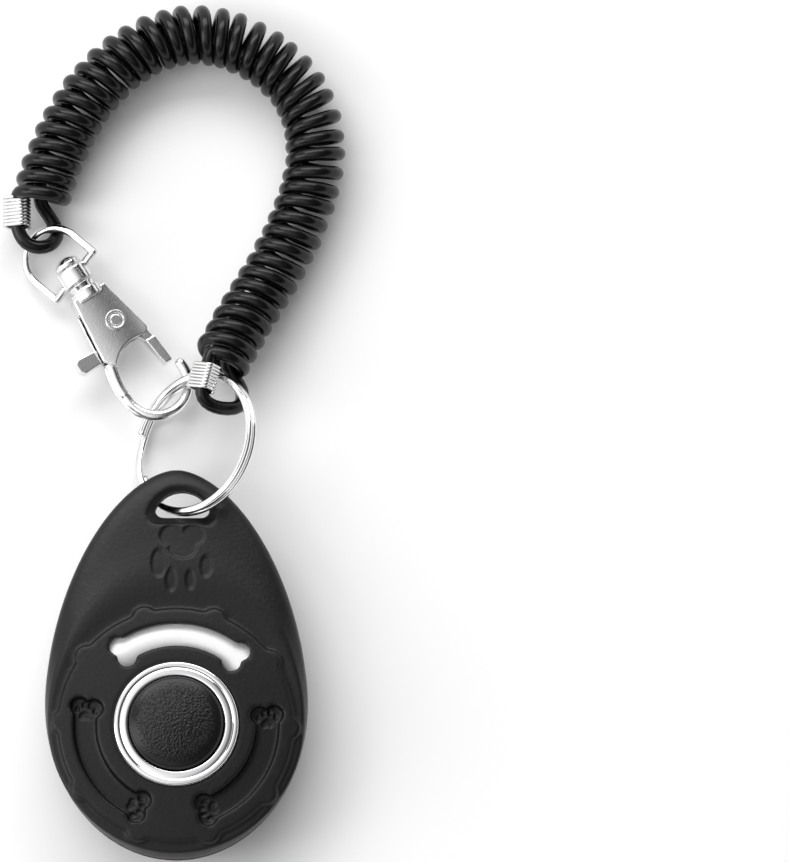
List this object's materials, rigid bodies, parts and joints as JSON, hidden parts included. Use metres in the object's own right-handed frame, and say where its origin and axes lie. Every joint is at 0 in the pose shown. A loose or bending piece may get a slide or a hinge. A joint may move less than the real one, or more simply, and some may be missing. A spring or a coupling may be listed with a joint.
{
  "type": "clicker trainer",
  "caption": "Egg-shaped hand clicker with a push button and bone-shaped window, on a split ring with a coiled wrist cord and a swivel hook.",
  "frame": {"origin": "on the clicker's flat back, under the middle of the push button", "axes": "+Y from the button towards the split ring and the cord, +Z out of the button's face, +X to the right as seen from the front"},
  "size_m": [0.0572, 0.1456, 0.0178],
  "materials": {
    "shell": "satin black, moulded",
    "plate_chrome": "plated, polished",
    "button_plastic": "fine grain with a polished edge",
    "spring_steel": "bare spring steel",
    "screw_steel": "zinc plated",
    "nickel": "nickel plated, slightly soft",
    "cord": "smooth black cord"
  },
  "bodies": {
    "clicker": {"front_cover": "shell", "back_cover": "shell", "chrome_insert": "plate_chrome", "plate_clamp": "shell", "clamp_screws": "screw_steel", "cover_screws": "screw_steel"},
    "button": {"button": "button_plastic"},
    "click_plate": {"click_plate": "spring_steel"},
    "wrist_cord": {"split_ring": "nickel", "coil_cord": "cord", "hook_loop_cord": "cord", "ring_loop_cord": "cord", "hook_ferrule": "nickel", "ring_ferrule": "nickel"},
    "bail": {"bail": "nickel"},
    "hook": {"swivel_stud": "nickel", "hook_body": "nickel", "gate_pin": "nickel", "gate_spring": "spring_steel"},
    "gate": {"gate": "nickel"}
  },
  "joints": [
    {"name": "button_press", "type": "slide", "parent": "clicker", "child": "button", "axis": [0, 0, -1], "range_m": [0, 0.0014], "stiffness_N_per_m": 1500, "springref_m": -0.0004},
    {"name": "plate_flex", "type": "hinge", "parent": "clicker", "child": "click_plate", "pos_m": [0, 0.0115, 0.0055], "axis": [1, 0, 0], "range_deg": [0, 7.2]},
    {"name": "ring_swing", "type": "hinge", "parent": "clicker", "child": "wrist_cord", "pos_m": [0.00095, 0.03775, 0.0092], "axis": [0, 1, 0], "range_deg": [-75, 0]},
    {"name": "bail_swing", "type": "hinge", "parent": "wrist_cord", "child": "bail", "pos_m": [-0.0216, 0.0843, 0.0035], "axis": [0, 0, 1], "range_deg": [0, 4]},
    {"name": "swivel_turn", "type": "hinge", "parent": "bail", "child": "hook", "pos_m": [-0.015, 0.0744, 0.0041], "axis": [0.554, -0.8325, 0], "range_deg": [-60, 0]},
    {"name": "gate_pivot", "type": "hinge", "parent": "hook", "child": "gate", "pos_m": [-0.01051, 0.06963, 0.0039], "axis": [-0.1517, -0.101, -0.9833], "range_deg": [0, 22], "stiffness_Nm_per_rad": 0.002, "springref_deg": -14.32}
  ],
  "couplings": [
    {"joint": "plate_flex", "follows": "button_press", "rad_per_m": 87}
  ]
}
